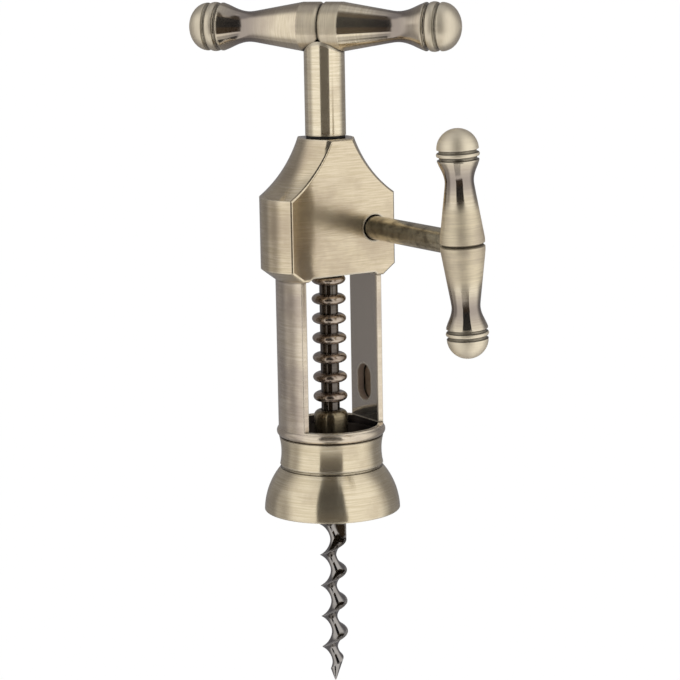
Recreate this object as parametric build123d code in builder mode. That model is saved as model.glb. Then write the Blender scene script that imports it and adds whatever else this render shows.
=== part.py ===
from build123d import *
from math import cos, degrees, pi, radians, sin, sqrt
import os

os.makedirs("parts", exist_ok=True)

# Frame: millimetres, +Z up along the screw. The origin is on the screw's axis, in the plane of the
# bell's rim. The housing's flat front looks along -Y, and the pinion shaft leaves it there.

# Clearances
RUN = 0.05  # radial, between a shaft and the bush it turns in
JOINED = 0.02  # radial, between pieces that are pressed, pinned or screwed together
GUIDE = 0.08  # radial, between the rack's rings and the bore that guides them
LOOSE = 0.35  # beside a piece that turns in a pocket
FACE = 0.08  # between the faces of pieces that slide on each other
OVER = 1.0  # each cut starts this far outside the face it enters

# Rack and pinion
MODULE = 2.0
TEETH = 7
RING_PITCH = pi * MODULE
PITCH_R = MODULE * TEETH / 2
RING_R = 5.45
RING_ROOT = 3.3  # thickness of a ring where it leaves the core
CORE_R = 2.95
RING_INSET = 0.5  # how far a ring's root lies inside the core
RINGS = 13
LOWEST_RING_Z = 36.6
TOOTH_TIP_R = 7.85
TOOTH_ROOT_R = 5.3
TOOTH_W = 2.5  # across a tooth at the pitch circle
TOOTH_TIP_W = 1.3
TOOTH_ROOT_W = 3.4
TOOTH_INSET = 1.0  # how far a tooth's root lies inside the pinion's body
GEAR_HALF_W = 4.5

# Barrel: a ring below and two legs
BARREL_R = 16.75
RING_WALL = 1.7
BEAD_OUT = 0.6  # how far the bead stands out from the barrel
BEAD_H = 2.8
SEAM_Z = 24.3  # the ring's bead stands on the bell's collar
STEP_Z = 25.3  # the ring's wide bore ends here, on the spigot
SPIGOT_WALL = 2.1
WINDOW_Z = 27.6
LEG_T = 3.88
LEG_HALF_Y = 7.88
LEG_ROUND = 0.3
TENON_H = 5.6
HOLLOW_L = 11.8
HOLLOW_W = 7.5
HOLLOW_D = 2.5
HOLLOW_Z = 39.6

# Bell and its collar: radii are steps out from or in from the barrel
BELL_OUT = 5.0
BELL_BULGE_OUT = 3.5
BELL_BULGE_Z = 7.4
BELL_TOP_IN = 0.4
BELL_TOP_Z = 13.9
BELL_WALL = 1.5
BELL_WALL_MID = 2.0
RIM_ROUND = 0.35
GROOVE_H = 1.1
GROOVE_D = 0.55
COLLAR_FOOT_IN = 0.25
COLLAR_IN = 0.15
COLLAR_WAIST_IN = 0.7
COLLAR_ROUND = 0.5
BOTTLE_IN = 1.95  # leaves room for the lip of a bottle
SEAT_Z = 19.0  # the lip stops here

# Gear housing
HOUSING_BOTTOM_Z = 75.4
FOOT_CHAMFER_X = 4.5
FOOT_CHAMFER_Z = 3.3
SHOULDER_Z = 101.3
HOUSING_TOP_Z = 119.2
HOUSING_HALF_X = 18.86
HOUSING_HALF_Y = 9.64
NECK_HALF_X = 3.5
SIDE_BULGE = 3.2  # of the two narrow sides, seen from above
NECK_BULGE = 4.8
COVE_R = 43.0
COVE_STEPS = 6
HOUSING_ROUND = 1.0
RELIEF_D = 1.2
RELIEF_SLOPE = 1.5

# Pinion, its shaft and bushes
PINION_X = 11.54
PINION_Z = 90.7
SHAFT_R = 3.75
FRONT_HOLE_R = 4.1
FRONT_LIP = 1.3
BUSH_R = 5.1
GEAR_WASHER_T = 0.5
POCKET_R = TOOTH_TIP_R + LOOSE
COVER_SKIN = 1.1
GEAR_PIN_R = 0.9
LEG_PIN_R = 0.9
LEG_PIN_IN = 1.95  # from the barrel's outside to the pin's axis
LEG_PIN_Z = 78.4
LEG_PIN_L = 14.5

# Stem and turning handle
STEM_R = 6.4
STEM_WASHER_T = 0.6
STEM_WASHER_R = 6.1
SHANK_R = 2.9
SHANK_L = 15.0
STUD_R = 2.5
STUD_L = 18.0
HANDLE_Z = 153.55
HANDLE_ANGLE = -51.0  # the bar's right end swings towards the front
STUD_ABOVE = 4.0  # the stud's end above the bar's axis

# Side handle
GRIP_Y = -57.7
GRIP_LEAN = -3.1
GRIP_TENON_R = 2.6
GRIP_TENON_L = 8.0  # the tenon's end, past the shaft's shoulder
GRIP_SEAT = 5.6  # from the grip's axis to the shaft's shoulder

# Worm and its socket
SOCKET_R = 5.4
SOCKET_TOP_Z = 32.2
SOCKET_SHOULDER_H = 1.7
SOCKET_SHOULDER_R = 3.4
SHOULDER_MID_R = 4.92  # a point half way over the rounded shoulder
SHOULDER_MID_Z = 31.55
SOCKET_BOTTOM_Z = 11.0
SOCKET_PIN_R = 0.9
SOCKET_PIN_Z = 20.0
TANG_R = 2.4
TANG_TOP_Z = 23.0
RACK_TANG_L = 6.0
WORM_R = 4.3
WORM_CORE_R = 0.95
WORM_PITCH = 10.27
WORM_TIP_Z = -57.9
WORM_TIP_R = 0.2
WORM_TAPER_Z = -45.9  # the point begins here
WORM_EDGE_Z = -15.8  # at this height the sharp edge faces WORM_EDGE_ANGLE
WORM_EDGE_ANGLE = 148.0
WORM_SHANK_TOP_Z = 10.5
RUN_OUT_ANGLE = 325.0  # the groove ends against a flat wall that runs this way from the axis
RUN_OUT_RISE = 0.6  # the wall starts this far above the sharp edge
RUN_OUT_BACK = 2.5  # degrees, keeps the full shank just inside the sharp edge

# Turned grips: sizes along the axis from the middle, radii, and the grooves' widths
T_GRIP = dict(half=44.3, middle_r=7.7, flat=6.5, waist_r=4.75, waist_at=24.2, knob_r=7.5,
              flare_at=32.9, groove_in=34.2, groove_out=37.7, groove_w=1.4, groove_mid_w=2.0)
SIDE_GRIP = dict(half=34.8, middle_r=6.75, flat=1.9, waist_r=4.35, waist_at=18.8, knob_r=6.3,
                 flare_at=24.8, groove_in=26.0, groove_out=28.1, groove_w=1.1, groove_mid_w=1.3)
GROOVE_KNOB_D = 0.65
GROOVE_MIDDLE_D = 0.75
BEAD_RISE = 0.2  # crown of the bead between the two knob grooves
FLAT_DROP = 0.02  # the middle falls this little before the taper starts
TAPER_SHORT = 2.2  # the straight taper ends this far before the waist
TAPER_SHORT_RISE = 0.25
WAIST_L = 0.3
FLARE_MID_AT = 0.55  # share of the way from waist to knob
FLARE_MID_RISE = 0.36  # share of the rise reached there
FLARE_END_SHORT = 0.9
FLARE_END_DROP = 0.45
FLARE_END_SLOPE = 0.4  # it meets the knob in a shallow corner

# Sizes that follow from the ones above
ring_bore_r = BARREL_R - RING_WALL
leg_inner_x = BARREL_R - LEG_T
leg_pin_x = BARREL_R - LEG_PIN_IN
bottle_r = BARREL_R - BOTTLE_IN
pocket_front_y = -(GEAR_HALF_W + GEAR_WASHER_T + FACE * 2)
pocket_back_y = GEAR_HALF_W + GEAR_WASHER_T + FACE * 2
ring_zs = [LOWEST_RING_Z + RING_PITCH * step for step in range(RINGS)]
stem_bottom_z = HOUSING_TOP_Z + STEM_WASHER_T + 2 * FACE
rack_bore_r = RING_R + GUIDE
stud_top_z = HANDLE_Z + STUD_ABOVE
stud_bottom_z = stud_top_z - STUD_L
relief_z = HOUSING_BOTTOM_Z + RELIEF_D
below_z = HOUSING_BOTTOM_Z - OVER


def save(part, name):
    """Label one finished piece and write it to its own file."""
    part.label = name
    export_step(part, f"parts/{name}.step")


def housing_plan(half_x, bulge=SIDE_BULGE):
    """Return the housing seen from above: two flats and two bulged sides."""
    half_y = HOUSING_HALF_Y
    with BuildSketch(mode=Mode.PRIVATE) as plan:
        with BuildLine():
            Line((-half_x, -half_y), (half_x, -half_y))
            ThreePointArc((half_x, -half_y), (half_x + bulge, 0), (half_x, half_y))
            Line((half_x, half_y), (-half_x, half_y))
            ThreePointArc((-half_x, half_y), (-half_x - bulge, 0), (-half_x, -half_y))
        make_face()
    return plan.sketch_local


def cove_half_x(z):
    """Half width of the housing's flat at height z, on the hollow curve up to its neck."""
    rise = HOUSING_TOP_Z - SHOULDER_Z
    run = HOUSING_HALF_X - NECK_HALF_X
    chord = sqrt(rise ** 2 + run ** 2)
    away = sqrt(COVE_R ** 2 - (chord / 2) ** 2)
    centre_x = (HOUSING_HALF_X + NECK_HALF_X) / 2 + away * rise / chord
    centre_z = (SHOULDER_Z + HOUSING_TOP_Z) / 2 + away * run / chord
    return centre_x - sqrt(COVE_R ** 2 - (z - centre_z) ** 2)


def leg_plan(grow):
    """Return both legs seen from above: round outside and flat inside, larger by grow."""
    with BuildSketch(mode=Mode.PRIVATE) as plan:
        Circle(BARREL_R + grow)
        Rectangle(4 * BARREL_R, 2 * (LEG_HALF_Y + grow), mode=Mode.INTERSECT)
        Rectangle(2 * (leg_inner_x - grow), 4 * BARREL_R, mode=Mode.SUBTRACT)
        fillet(plan.vertices(), LEG_ROUND)
    return plan.sketch_local


def tooth_outline():
    """Return one tooth of the pinion, pointing along +X from the pinion's middle."""
    low_r = TOOTH_ROOT_R - TOOTH_INSET
    with BuildSketch(mode=Mode.PRIVATE) as plan:
        with BuildLine():
            Polyline((low_r, -TOOTH_ROOT_W / 2), (TOOTH_ROOT_R, -TOOTH_ROOT_W / 2),
                     (PITCH_R, -TOOTH_W / 2), (TOOTH_TIP_R, -TOOTH_TIP_W / 2),
                     (TOOTH_TIP_R, TOOTH_TIP_W / 2), (PITCH_R, TOOTH_W / 2),
                     (TOOTH_ROOT_R, TOOTH_ROOT_W / 2), (low_r, TOOTH_ROOT_W / 2), close=True)
        make_face()
    return plan.sketch_local


def grip_profile(half, middle_r, flat, waist_r, waist_at, knob_r, flare_at, groove_in,
                 groove_out, groove_w, groove_mid_w):
    """Return a turned grip's outline above its axis: x along the axis, y the radius."""
    half_w = groove_w / 2
    knob_end = groove_out + half_w
    knob_start = flare_at + WAIST_L
    dome = half - knob_end
    taper_end = (waist_at - TAPER_SHORT, waist_r + TAPER_SHORT_RISE)
    flare_mid = (waist_at + (flare_at - waist_at) * FLARE_MID_AT,
                 waist_r + (knob_r - waist_r) * FLARE_MID_RISE)
    with BuildSketch(mode=Mode.PRIVATE) as plan:
        with BuildLine():
            Line((0, 0), (0, middle_r - GROOVE_MIDDLE_D))
            Line((0, middle_r - GROOVE_MIDDLE_D), (groove_mid_w / 2, middle_r))
            Line((groove_mid_w / 2, middle_r), (flat, middle_r - FLAT_DROP))
            taper = Line((flat, middle_r - FLAT_DROP), taper_end)
            Spline(taper_end, (waist_at + WAIST_L, waist_r), flare_mid,
                   (flare_at - FLARE_END_SHORT, knob_r - FLARE_END_DROP), (knob_start, knob_r),
                   tangents=(taper % 1, (1, FLARE_END_SLOPE)))
            Line((knob_start, knob_r), (groove_in - half_w, knob_r))
            ThreePointArc((groove_in - half_w, knob_r), (groove_in, knob_r - GROOVE_KNOB_D),
                          (groove_in + half_w, knob_r))
            ThreePointArc((groove_in + half_w, knob_r),
                          ((groove_in + groove_out) / 2, knob_r + BEAD_RISE),
                          (groove_out - half_w, knob_r))
            ThreePointArc((groove_out - half_w, knob_r), (groove_out, knob_r - GROOVE_KNOB_D),
                          (knob_end, knob_r))
            EllipticalCenterArc((knob_end, 0), dome, knob_r, start_angle=0, arc_size=90)
            Line((half, 0), (0, 0))
        make_face()
        mirror(about=Plane.YZ)
    return plan.sketch_local


# Gear housing: a chamfered foot, a straight block and a hollow-curved neck in one casting
with BuildPart() as gear_housing:
    with BuildSketch(Plane.XY.offset(HOUSING_BOTTOM_Z)):
        add(housing_plan(HOUSING_HALF_X - FOOT_CHAMFER_X))
    with BuildSketch(Plane.XY.offset(HOUSING_BOTTOM_Z + FOOT_CHAMFER_Z)):
        add(housing_plan(HOUSING_HALF_X))
    loft(ruled=True)
    with BuildSketch(Plane.XY.offset(HOUSING_BOTTOM_Z + FOOT_CHAMFER_Z)):
        add(housing_plan(HOUSING_HALF_X))
    extrude(amount=SHOULDER_Z - HOUSING_BOTTOM_Z - FOOT_CHAMFER_Z)
    for step in range(COVE_STEPS + 1):
        cove_z = SHOULDER_Z + (HOUSING_TOP_Z - SHOULDER_Z) * step / COVE_STEPS
        cove_bulge = SIDE_BULGE + (NECK_BULGE - SIDE_BULGE) * step / COVE_STEPS
        with BuildSketch(Plane.XY.offset(cove_z)):
            add(housing_plan(cove_half_x(cove_z), cove_bulge))
    loft()
    # Worn edges round the two flats
    front_edges = gear_housing.edges().group_by(Axis.Y)[0]
    back_edges = gear_housing.edges().group_by(Axis.Y)[-1]
    fillet(front_edges + back_edges, HOUSING_ROUND)
    # Shallow relief between the legs
    with BuildSketch(Plane.XZ):
        with BuildLine():
            Polyline((-leg_inner_x, below_z), (-leg_inner_x, HOUSING_BOTTOM_Z),
                     (-leg_inner_x + RELIEF_SLOPE, relief_z), (leg_inner_x - RELIEF_SLOPE, relief_z),
                     (leg_inner_x, HOUSING_BOTTOM_Z), (leg_inner_x, below_z), close=True)
        make_face()
    extrude(amount=2 * HOUSING_HALF_Y, both=True, mode=Mode.SUBTRACT)
    # Sockets for the two leg tenons
    with BuildSketch(Plane.XY.offset(below_z)):
        add(leg_plan(JOINED))
    extrude(amount=OVER + TENON_H + JOINED, mode=Mode.SUBTRACT)
    # Bore that guides the rack
    with BuildSketch(Plane.XY.offset(below_z)):
        Circle(rack_bore_r)
    extrude(amount=HOUSING_TOP_Z + OVER - below_z, mode=Mode.SUBTRACT)
    # Pinion pocket, open at the back, then the seat of the front bush and the shaft's hole
    with BuildSketch(Plane.XZ.offset(-HOUSING_HALF_Y - OVER)):
        with Locations((PINION_X, PINION_Z)):
            Circle(POCKET_R)
    extrude(amount=HOUSING_HALF_Y + OVER - pocket_front_y, mode=Mode.SUBTRACT)
    with BuildSketch(Plane.XZ):
        with Locations((PINION_X, PINION_Z)):
            Circle(BUSH_R + JOINED)
    extrude(amount=HOUSING_HALF_Y - FRONT_LIP, mode=Mode.SUBTRACT)
    with BuildSketch(Plane.XZ):
        with Locations((PINION_X, PINION_Z)):
            Circle(FRONT_HOLE_R)
    extrude(amount=HOUSING_HALF_Y + OVER, mode=Mode.SUBTRACT)
    # Cross holes for the leg pins, blind from the back
    with BuildSketch(Plane.XZ.offset(-HOUSING_HALF_Y)):
        with Locations((-leg_pin_x, LEG_PIN_Z), (leg_pin_x, LEG_PIN_Z)):
            Circle(LEG_PIN_R + JOINED)
    extrude(amount=LEG_PIN_L + JOINED, mode=Mode.SUBTRACT)
save(gear_housing.part, "gear_housing")

# Barrel: a beaded ring with a spigot for the bell, and two legs with tenons
with BuildPart() as barrel_frame:
    with BuildSketch(Plane.XZ):
        spigot_r = bottle_r - JOINED
        spigot_bore_r = bottle_r - SPIGOT_WALL
        with BuildLine():
            Polyline((BARREL_R, SEAM_Z + BEAD_H), (BARREL_R, WINDOW_Z), (ring_bore_r, WINDOW_Z),
                     (ring_bore_r, STEP_Z), (spigot_bore_r, STEP_Z), (spigot_bore_r, SEAT_Z),
                     (spigot_r, SEAT_Z), (spigot_r, SEAM_Z), (BARREL_R - COLLAR_ROUND, SEAM_Z))
            ThreePointArc((BARREL_R - COLLAR_ROUND, SEAM_Z),
                          (BARREL_R + BEAD_OUT, SEAM_Z + BEAD_H / 2), (BARREL_R, SEAM_Z + BEAD_H))
        make_face()
    revolve(axis=Axis.Z)
    with BuildSketch(Plane.XY.offset(WINDOW_Z)):
        add(leg_plan(0))
    extrude(amount=HOUSING_BOTTOM_Z + TENON_H - WINDOW_Z)
    # Long hollow in the inner face of each leg
    for side in (-1, 1):
        with BuildSketch(Plane(origin=(side * leg_inner_x, 0, HOLLOW_Z), x_dir=(0, 0, 1),
                               z_dir=(side, 0, 0))):
            SlotOverall(HOLLOW_L, HOLLOW_W)
        extrude(amount=HOLLOW_D, mode=Mode.SUBTRACT)
    with BuildSketch(Plane.XZ.offset(-HOUSING_HALF_Y)):
        with Locations((-leg_pin_x, LEG_PIN_Z), (leg_pin_x, LEG_PIN_Z)):
            Circle(LEG_PIN_R + JOINED)
    extrude(amount=LEG_PIN_L + JOINED, mode=Mode.SUBTRACT)
save(barrel_frame.part, "barrel_frame")

# Leg pins: two plain pins, flush with the housing's back
with BuildPart() as leg_pins:
    with BuildSketch(Plane.XZ.offset(-HOUSING_HALF_Y)):
        with Locations((-leg_pin_x, LEG_PIN_Z), (leg_pin_x, LEG_PIN_Z)):
            Circle(LEG_PIN_R)
    extrude(amount=LEG_PIN_L)
save(leg_pins.part, "leg_pins")

# Bell: flared skirt, groove and waisted collar, bored for a bottle's lip
with BuildPart() as bell:
    groove_mid_z = BELL_TOP_Z + GROOVE_H / 2
    groove_top_z = BELL_TOP_Z + GROOVE_H
    collar_top_z = SEAM_Z - JOINED
    rim_r = BARREL_R + BELL_OUT
    bulge_r = BARREL_R + BELL_BULGE_OUT
    top_r = BARREL_R - BELL_TOP_IN
    collar_foot = (BARREL_R - COLLAR_FOOT_IN, groove_top_z)
    collar_head = (BARREL_R - COLLAR_IN, collar_top_z - COLLAR_ROUND)
    collar_top_r = BARREL_R - COLLAR_IN - COLLAR_ROUND
    with BuildSketch(Plane.XZ):
        with BuildLine():
            ThreePointArc((rim_r, 0), (bulge_r, BELL_BULGE_Z), (top_r, BELL_TOP_Z))
            ThreePointArc((top_r, BELL_TOP_Z), (top_r - GROOVE_D, groove_mid_z), collar_foot)
            ThreePointArc(collar_foot, (BARREL_R - COLLAR_WAIST_IN,
                                        (groove_top_z + collar_top_z) / 2), collar_head)
            Polyline(collar_head, (collar_top_r, collar_top_z), (bottle_r, collar_top_z),
                     (bottle_r, groove_mid_z))
            ThreePointArc((bottle_r, groove_mid_z), (bulge_r - BELL_WALL_MID, BELL_BULGE_Z),
                          (rim_r - BELL_WALL, 0))
            Line((rim_r - BELL_WALL, 0), (rim_r, 0))
        make_face()
    revolve(axis=Axis.Z)
    fillet(bell.edges().group_by(Axis.Z)[0], RIM_ROUND)
save(bell.part, "bell")

# Bushes that carry the pinion shaft, in front and behind
with BuildPart() as front_bush:
    with BuildSketch(Plane.XZ.offset(-pocket_front_y)):
        with Locations((PINION_X, PINION_Z)):
            Circle(BUSH_R)
            Circle(SHAFT_R + RUN, mode=Mode.SUBTRACT)
    extrude(amount=HOUSING_HALF_Y - FRONT_LIP - JOINED + pocket_front_y)
save(front_bush.part, "front_bush")

rear_bush_end_y = HOUSING_HALF_Y - COVER_SKIN
with BuildPart() as rear_bush:
    with BuildSketch(Plane.XZ.offset(-pocket_back_y)):
        with Locations((PINION_X, PINION_Z)):
            Circle(BUSH_R)
            Circle(SHAFT_R + RUN, mode=Mode.SUBTRACT)
    extrude(amount=-(rear_bush_end_y - pocket_back_y))
save(rear_bush.part, "rear_bush")

# Rear cover: a plug that closes the pinion pocket and holds the rear bush
with BuildPart() as rear_cover:
    with BuildSketch(Plane.XZ.offset(-pocket_back_y)):
        with Locations((PINION_X, PINION_Z)):
            Circle(POCKET_R - JOINED)
    extrude(amount=-(HOUSING_HALF_Y - pocket_back_y))
    with BuildSketch(Plane.XZ.offset(-pocket_back_y)):
        with Locations((PINION_X, PINION_Z)):
            Circle(BUSH_R + JOINED)
    extrude(amount=-(rear_bush_end_y + JOINED - pocket_back_y), mode=Mode.SUBTRACT)
    # Cut flush with the housing's side, where the pocket comes through it
    with BuildSketch(Plane.XY.offset(PINION_Z - POCKET_R)):
        add(housing_plan(HOUSING_HALF_X - JOINED))
    extrude(amount=2 * POCKET_R, mode=Mode.INTERSECT)
save(rear_cover.part, "rear_cover")

# Thin washers on each side of the pinion
with BuildPart() as pinion_washers:
    for washer_y in (pocket_front_y + FACE + GEAR_WASHER_T, pocket_back_y - FACE):
        with BuildSketch(Plane.XZ.offset(-washer_y)):
            with Locations((PINION_X, PINION_Z)):
                Circle(TOOTH_ROOT_R)
                Circle(SHAFT_R + JOINED, mode=Mode.SUBTRACT)
        extrude(amount=GEAR_WASHER_T)
save(pinion_washers.part, "pinion_washers")

# Pinion: at rest one tooth lies between two rings of the rack
mesh_z = min((z + RING_PITCH / 2 for z in ring_zs), key=lambda z: abs(z - PINION_Z))
tooth_turn = degrees((mesh_z - PINION_Z) / PITCH_R)
with BuildPart() as pinion_gear:
    with BuildSketch(Plane.XZ.offset(-GEAR_HALF_W)):
        with Locations((PINION_X, PINION_Z)):
            Circle(TOOTH_ROOT_R)
        with Locations((PINION_X, PINION_Z)):
            with PolarLocations(0, TEETH, start_angle=180 - tooth_turn):
                add(tooth_outline())
        with Locations((PINION_X, PINION_Z)):
            Circle(SHAFT_R + JOINED, mode=Mode.SUBTRACT)
    extrude(amount=2 * GEAR_HALF_W)
    with BuildSketch(Plane.XY.offset(PINION_Z - TOOTH_ROOT_R)):
        with Locations((PINION_X, 0)):
            Circle(GEAR_PIN_R + JOINED)
    extrude(amount=2 * TOOTH_ROOT_R, mode=Mode.SUBTRACT)
save(pinion_gear.part, "pinion_gear")

# Pinion shaft: a plain bar from the rear bush to the side handle, with a tenon at its front end
shaft_back_y = rear_bush_end_y - LOOSE
shaft_front_y = GRIP_Y + GRIP_SEAT
with BuildPart() as pinion_shaft:
    with BuildSketch(Plane.XZ.offset(-shaft_back_y)):
        with Locations((PINION_X, PINION_Z)):
            Circle(SHAFT_R)
    extrude(amount=shaft_back_y - shaft_front_y)
    with BuildSketch(Plane.XZ.offset(-shaft_front_y)):
        with Locations((PINION_X, PINION_Z)):
            Circle(GRIP_TENON_R)
    extrude(amount=GRIP_TENON_L)
    with BuildSketch(Plane.XY.offset(PINION_Z - TOOTH_ROOT_R)):
        with Locations((PINION_X, 0)):
            Circle(GEAR_PIN_R + JOINED)
    extrude(amount=2 * TOOTH_ROOT_R, mode=Mode.SUBTRACT)
save(pinion_shaft.part, "pinion_shaft")

# Pinion pin: locks the pinion on its shaft
with BuildPart() as pinion_pin:
    with BuildSketch(Plane.XY.offset(PINION_Z - TOOTH_ROOT_R + JOINED)):
        with Locations((PINION_X, 0)):
            Circle(GEAR_PIN_R)
    extrude(amount=2 * (TOOTH_ROOT_R - JOINED))
save(pinion_pin.part, "pinion_pin")

# Side handle: a turned grip across the end of the shaft, leaning a little
lean = radians(GRIP_LEAN)
grip_plane = Plane(origin=(PINION_X, GRIP_Y, PINION_Z), x_dir=(sin(lean), 0, cos(lean)),
                   z_dir=(0, -1, 0))
with BuildPart() as side_handle:
    with BuildSketch(grip_plane):
        add(grip_profile(**SIDE_GRIP))
    revolve(axis=Axis(grip_plane.origin, grip_plane.x_dir))
    with BuildSketch(Plane.XZ.offset(-shaft_front_y - SIDE_GRIP["middle_r"])):
        with Locations((PINION_X, PINION_Z)):
            Circle(SHAFT_R + JOINED)
    extrude(amount=SIDE_GRIP["middle_r"] + JOINED, mode=Mode.SUBTRACT)
    with BuildSketch(Plane.XZ.offset(-shaft_front_y)):
        with Locations((PINION_X, PINION_Z)):
            Circle(GRIP_TENON_R + JOINED)
    extrude(amount=GRIP_TENON_L + JOINED, mode=Mode.SUBTRACT)
save(side_handle.part, "side_handle")

# Rack: a core with rings, a shank above for the stem and a tang below for the socket
rack_bottom_z = SOCKET_TOP_Z - RACK_TANG_L
with BuildPart() as rack_shaft:
    with BuildSketch(Plane.XY.offset(rack_bottom_z)):
        Circle(CORE_R)
    extrude(amount=stem_bottom_z - rack_bottom_z)
    with BuildSketch(Plane.XY.offset(stem_bottom_z)):
        Circle(SHANK_R)
    extrude(amount=SHANK_L)
    for ring_z in ring_zs:
        with BuildSketch(Plane.XZ):
            half_t = RING_ROOT / 2
            with BuildLine():
                Polyline((CORE_R, ring_z + half_t), (CORE_R - RING_INSET, ring_z + half_t),
                         (CORE_R - RING_INSET, ring_z - half_t), (CORE_R, ring_z - half_t))
                EllipticalCenterArc((CORE_R, ring_z), RING_R - CORE_R, half_t,
                                    start_angle=-90, arc_size=180)
            make_face()
        revolve(axis=Axis.Z)
save(rack_shaft.part, "rack_shaft")

# Washer under the stem
with BuildPart() as stem_washer:
    with BuildSketch(Plane.XY.offset(HOUSING_TOP_Z + FACE)):
        Circle(STEM_WASHER_R)
        Circle(CORE_R + RUN, mode=Mode.SUBTRACT)
    extrude(amount=STEM_WASHER_T)
save(stem_washer.part, "stem_washer")

# Turning handle: a turned bar across the top, bored below for its stud
handle_turn = radians(HANDLE_ANGLE)
handle_dir = (cos(handle_turn), sin(handle_turn), 0)
handle_plane = Plane(origin=(0, 0, HANDLE_Z), x_dir=handle_dir,
                     z_dir=(sin(handle_turn), -cos(handle_turn), 0))
with BuildPart() as t_handle:
    with BuildSketch(handle_plane):
        add(grip_profile(**T_GRIP))
    revolve(axis=Axis(handle_plane.origin, handle_plane.x_dir))
    with BuildSketch(Plane.XY.offset(HANDLE_Z - 2 * T_GRIP["middle_r"])):
        Circle(STUD_R + JOINED)
    extrude(amount=2 * T_GRIP["middle_r"] + STUD_ABOVE + JOINED, mode=Mode.SUBTRACT)
save(t_handle.part, "t_handle")

# Stem: a plain post, coped at the top to sit under the bar
with BuildPart() as handle_stem:
    with BuildSketch(Plane.XY.offset(stem_bottom_z)):
        Circle(STEM_R)
    extrude(amount=HANDLE_Z - stem_bottom_z)
    with BuildSketch(Plane(origin=(0, 0, HANDLE_Z), x_dir=(0, 0, 1), z_dir=handle_dir)):
        Circle(T_GRIP["middle_r"] + JOINED)
    extrude(amount=4 * STEM_R, both=True, mode=Mode.SUBTRACT)
    with BuildSketch(Plane.XY.offset(stem_bottom_z)):
        Circle(SHANK_R + JOINED)
    extrude(amount=SHANK_L + JOINED, mode=Mode.SUBTRACT)
    with BuildSketch(Plane.XY.offset(stud_bottom_z - JOINED)):
        Circle(STUD_R + JOINED)
    extrude(amount=STUD_L, mode=Mode.SUBTRACT)
save(handle_stem.part, "handle_stem")

# Stud that holds the bar on the stem
with BuildPart() as handle_stud:
    with BuildSketch(Plane.XY.offset(stud_bottom_z)):
        Circle(STUD_R)
    extrude(amount=STUD_L)
save(handle_stud.part, "handle_stud")

# Socket: a thick sleeve with a rounded shoulder that joins the worm to the rack
with BuildPart() as worm_socket:
    with BuildSketch(Plane.XZ):
        shoulder_z = SOCKET_TOP_Z - SOCKET_SHOULDER_H
        with BuildLine():
            Polyline((0, SOCKET_TOP_Z), (0, SOCKET_BOTTOM_Z), (SOCKET_R, SOCKET_BOTTOM_Z),
                     (SOCKET_R, shoulder_z))
            ThreePointArc((SOCKET_R, shoulder_z), (SHOULDER_MID_R, SHOULDER_MID_Z),
                          (SOCKET_SHOULDER_R, SOCKET_TOP_Z))
            Line((SOCKET_SHOULDER_R, SOCKET_TOP_Z), (0, SOCKET_TOP_Z))
        make_face()
    revolve(axis=Axis.Z)
    with BuildSketch(Plane.XY.offset(rack_bottom_z)):
        Circle(CORE_R + JOINED)
    extrude(amount=RACK_TANG_L + OVER, mode=Mode.SUBTRACT)
    with BuildSketch(Plane.XY.offset(SOCKET_BOTTOM_Z - OVER)):
        Circle(TANG_R + JOINED)
    extrude(amount=TANG_TOP_Z + JOINED - SOCKET_BOTTOM_Z + OVER, mode=Mode.SUBTRACT)
    with BuildSketch(Plane.YZ.offset(-SOCKET_R)):
        with Locations((0, SOCKET_PIN_Z)):
            Circle(SOCKET_PIN_R + JOINED)
    extrude(amount=2 * SOCKET_R, mode=Mode.SUBTRACT)
save(worm_socket.part, "worm_socket")

# Socket pin: holds the worm's tang
with BuildPart() as socket_pin:
    pin_half_l = sqrt(SOCKET_R ** 2 - SOCKET_PIN_R ** 2) - JOINED
    with BuildSketch(Plane.YZ.offset(-pin_half_l)):
        with Locations((0, SOCKET_PIN_Z)):
            Circle(SOCKET_PIN_R)
    extrude(amount=2 * pin_half_l)
save(socket_pin.part, "socket_pin")


def blade_outline():
    """Return the worm cut across: a hollow that goes round to one sharp edge along +X."""
    half_pitch = WORM_PITCH / 2
    depth = WORM_R - WORM_CORE_R
    hollow_r = (half_pitch ** 2 + depth ** 2) / (2 * depth)
    points = []
    for turn in range(0, 361, 30):
        along = WORM_PITCH * turn / 360 - half_pitch
        radius = WORM_CORE_R + hollow_r - sqrt(hollow_r ** 2 - along ** 2)
        points.append((radius * cos(radians(turn)), radius * sin(radians(turn))))
    with BuildSketch(mode=Mode.PRIVATE) as plan:
        with BuildLine():
            Spline(*points)
        make_face()
    return plan.sketch_local


def half_disc(facing, radius):
    """Return half of a disc, from the given direction round to its opposite."""
    end = (radius * cos(radians(facing)), radius * sin(radians(facing)))
    with BuildSketch(mode=Mode.PRIVATE) as plan:
        with BuildLine():
            CenterArc((0, 0), radius, facing, 180)
            Line(end, (-end[0], -end[1]))
        make_face()
    return plan.sketch_local


def edge_angle(z):
    """Direction of the worm's sharp edge at height z, in degrees."""
    return WORM_EDGE_ANGLE + 360 * (z - WORM_EDGE_Z) / WORM_PITCH


def wound(outline, low_z, high_z):
    """Return an outline carried up the worm's axis, turning with the sharp edge."""
    start = Location((0, 0, low_z), (0, 0, edge_angle(low_z)))
    rise = high_z - low_z
    return Solid.extrude_linear_with_rotation(outline.faces()[0].moved(start), (0, 0, low_z),
                                              (0, 0, rise), 360 * rise / WORM_PITCH)


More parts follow.
